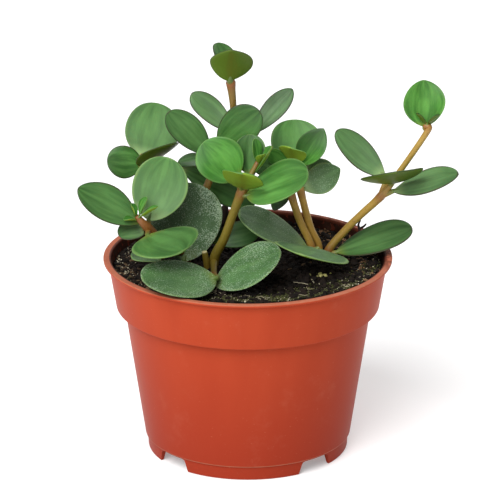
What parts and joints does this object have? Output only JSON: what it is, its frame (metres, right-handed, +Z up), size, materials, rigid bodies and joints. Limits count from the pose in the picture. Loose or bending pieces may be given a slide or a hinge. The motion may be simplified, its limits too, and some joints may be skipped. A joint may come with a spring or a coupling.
{
  "type": "potted peperomia",
  "caption": "Small fleshy-leaved house plant with upright branching shoots, growing in a thin tapered plastic nursery pot filled with potting soil.",
  "frame": {"origin": "on the pot's axis, at the surface that its foot ring stands on", "axes": "+Z up along the pot's axis, +X to the right and +Y away from the picture's camera; the longest shoot on the right leans towards +X"},
  "size_m": [0.1406, 0.108, 0.1551],
  "materials": {
    "terracotta_plastic": "satin",
    "potting_soil": "matte",
    "leaf_green": "satin"
  },
  "bodies": {
    "root": {"pot": "terracotta_plastic", "soil": "potting_soil", "shoot_centre": "leaf_green", "shoot_tall": "leaf_green", "shoot_left_back": "leaf_green", "shoot_left_front": "leaf_green", "shoot_twin_left": "leaf_green", "shoot_twin_right": "leaf_green", "shoot_right": "leaf_green"}
  },
  "joints": []
}
